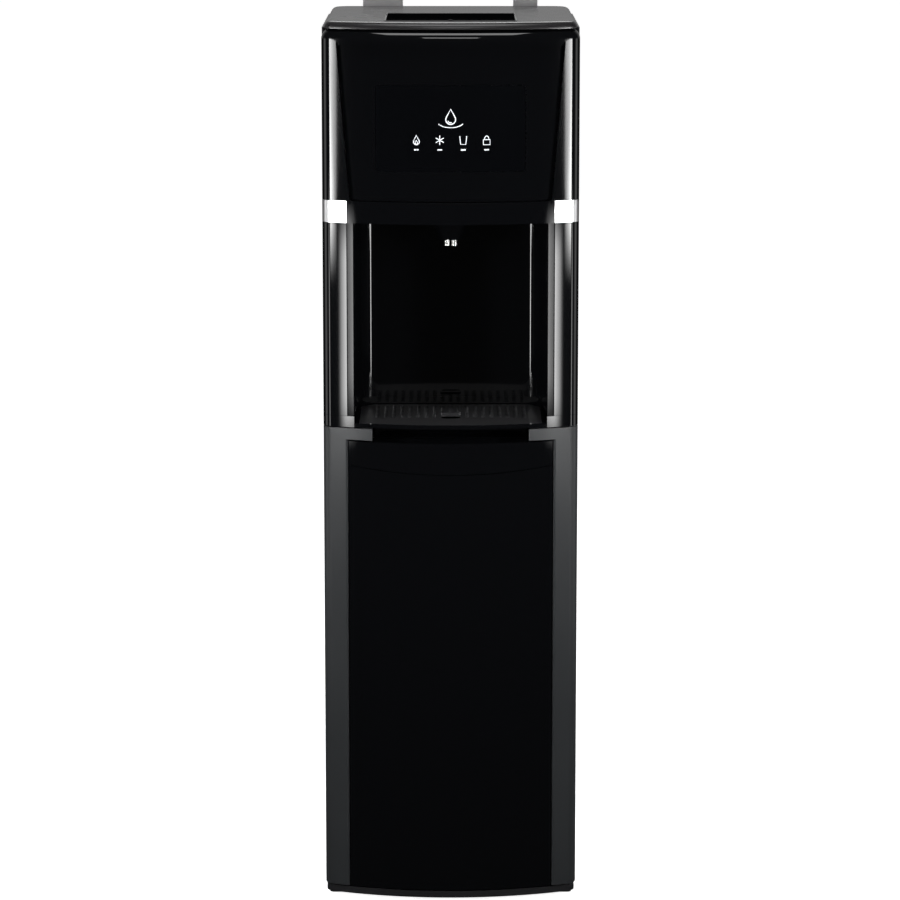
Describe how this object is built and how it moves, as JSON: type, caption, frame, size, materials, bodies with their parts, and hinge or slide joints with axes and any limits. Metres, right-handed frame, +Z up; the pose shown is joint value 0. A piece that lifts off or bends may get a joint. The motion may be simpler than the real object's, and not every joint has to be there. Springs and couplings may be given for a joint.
{
  "type": "water dispenser",
  "caption": "Floor-standing water dispenser with a bottle compartment behind a hinged door, an alcove with spouts and a lift-out drip grille.",
  "frame": {"origin": "on the floor, under the middle of the cabinet's bounding box", "axes": "+X to the viewer's right, the front faces -Y, +Z up"},
  "size_m": [0.31, 0.36, 1.095],
  "materials": {
    "gloss_black": "gloss black moulded plastic",
    "satin_black": "satin black moulded plastic",
    "lid_grey": "satin graphite moulded plastic",
    "trim_graphite": "satin graphite trim",
    "silver": "satin chrome plated plastic",
    "smoked_lens": "smoked acrylic",
    "painted_steel": "black powder coated steel",
    "zinc_steel": "zinc plated steel",
    "stainless": "stainless steel",
    "copper": "copper pipe",
    "coil_black": "black enamelled wire and pipe",
    "compressor_black": "black enamel",
    "rubber_black": "moulded rubber",
    "white_plastic": "natural white plastic",
    "foam": "expanded polystyrene",
    "silicone": "translucent silicone",
    "board_green": "circuit board",
    "switch_red": "red rocker",
    "switch_green": "green rocker",
    "magnet": "ferrite magnet"
  },
  "bodies": {
    "cabinet": {"alcove_ceiling": "satin_black", "alcove_columns": "gloss_black", "alcove_liner": "gloss_black", "base_plate": "zinc_steel", "bottle_floor": "satin_black", "bottle_hose": "silicone", "catch_magnet": "magnet", "cold_tank": "stainless", "cold_tank_lid": "white_plastic", "compressor": "compressor_black", "compressor_mounts": "rubber_black", "condenser": "coil_black", "condenser_clips": "satin_black", "control_board": "board_green", "control_lens": "smoked_lens", "dispense_valves": "white_plastic", "door_hinges": "zinc_steel", "door_posts": "satin_black", "drain_outlet": "white_plastic", "evaporator_coil": "copper", "fascia_panel": "gloss_black", "feet": "rubber_black", "front_plinth": "satin_black", "head_shell": "gloss_black", "heater_flange": "stainless", "hot_tank": "stainless", "left_side_panel": "painted_steel", "machine_deck": "zinc_steel", "mains_gland": "rubber_black", "nozzle_housing": "gloss_black", "power_box": "satin_black", "probe_hanger": "white_plastic", "rear_panel": "painted_steel", "rear_panel_screws": "zinc_steel", "rear_spacers": "lid_grey", "refrigerant_lines": "copper", "right_side_panel": "painted_steel", "side_accents": "silver", "spouts": "stainless", "switch_bezel": "satin_black", "tank_insulation": "foam", "top_cover": "lid_grey", "top_recess_insert": "gloss_black", "tray_deck": "satin_black", "water_hoses": "silicone", "water_pump": "satin_black"},
    "door": {"door_liner": "satin_black", "door_panel": "gloss_black", "door_handle_cap": "gloss_black", "left_door_trim": "trim_graphite", "right_door_trim": "trim_graphite", "door_hinge_bushes": "white_plastic", "door_catch_plate": "zinc_steel"},
    "tray": {"drip_tray": "gloss_black"},
    "grille": {"drip_grille": "satin_black"},
    "probe": {"bottle_probe": "white_plastic"},
    "heater_switch": {"heater_rocker": "switch_red"},
    "cooler_switch": {"cooler_rocker": "switch_green"},
    "drain_plug": {"drain_cap": "satin_black"},
    "float": {"tank_float": "white_plastic"}
  },
  "joints": [
    {"name": "door_hinge", "type": "hinge", "parent": "cabinet", "child": "door", "pos_m": [0.145, -0.14, 0.3], "axis": [0, 0, 1], "range_deg": [0, 110]},
    {"name": "tray_slide", "type": "slide", "parent": "cabinet", "child": "tray", "axis": [0, -1, 0], "range_m": [0, 0.15]},
    {"name": "grille_lift", "type": "slide", "parent": "tray", "child": "grille", "axis": [0, 0, 1], "range_m": [0, 0.04]},
    {"name": "probe_lift", "type": "slide", "parent": "cabinet", "child": "probe", "axis": [0, 0, 1], "range_m": [0, 0.008], "deforming": ["bottle_hose"]},
    {"name": "heater_rock", "type": "hinge", "parent": "cabinet", "child": "heater_switch", "pos_m": [0.093, 0.1505, 0.985], "axis": [1, 0, 0], "range_deg": [0, 16]},
    {"name": "cooler_rock", "type": "hinge", "parent": "cabinet", "child": "cooler_switch", "pos_m": [0.117, 0.1505, 0.985], "axis": [1, 0, 0], "range_deg": [0, 16]},
    {"name": "drain_unplug", "type": "slide", "parent": "cabinet", "child": "drain_plug", "axis": [0, 1, 0], "range_m": [0, 0.02]},
    {"name": "float_rise", "type": "slide", "parent": "cabinet", "child": "float", "axis": [0, 0, 1], "range_m": [0, 0.05]}
  ]
}
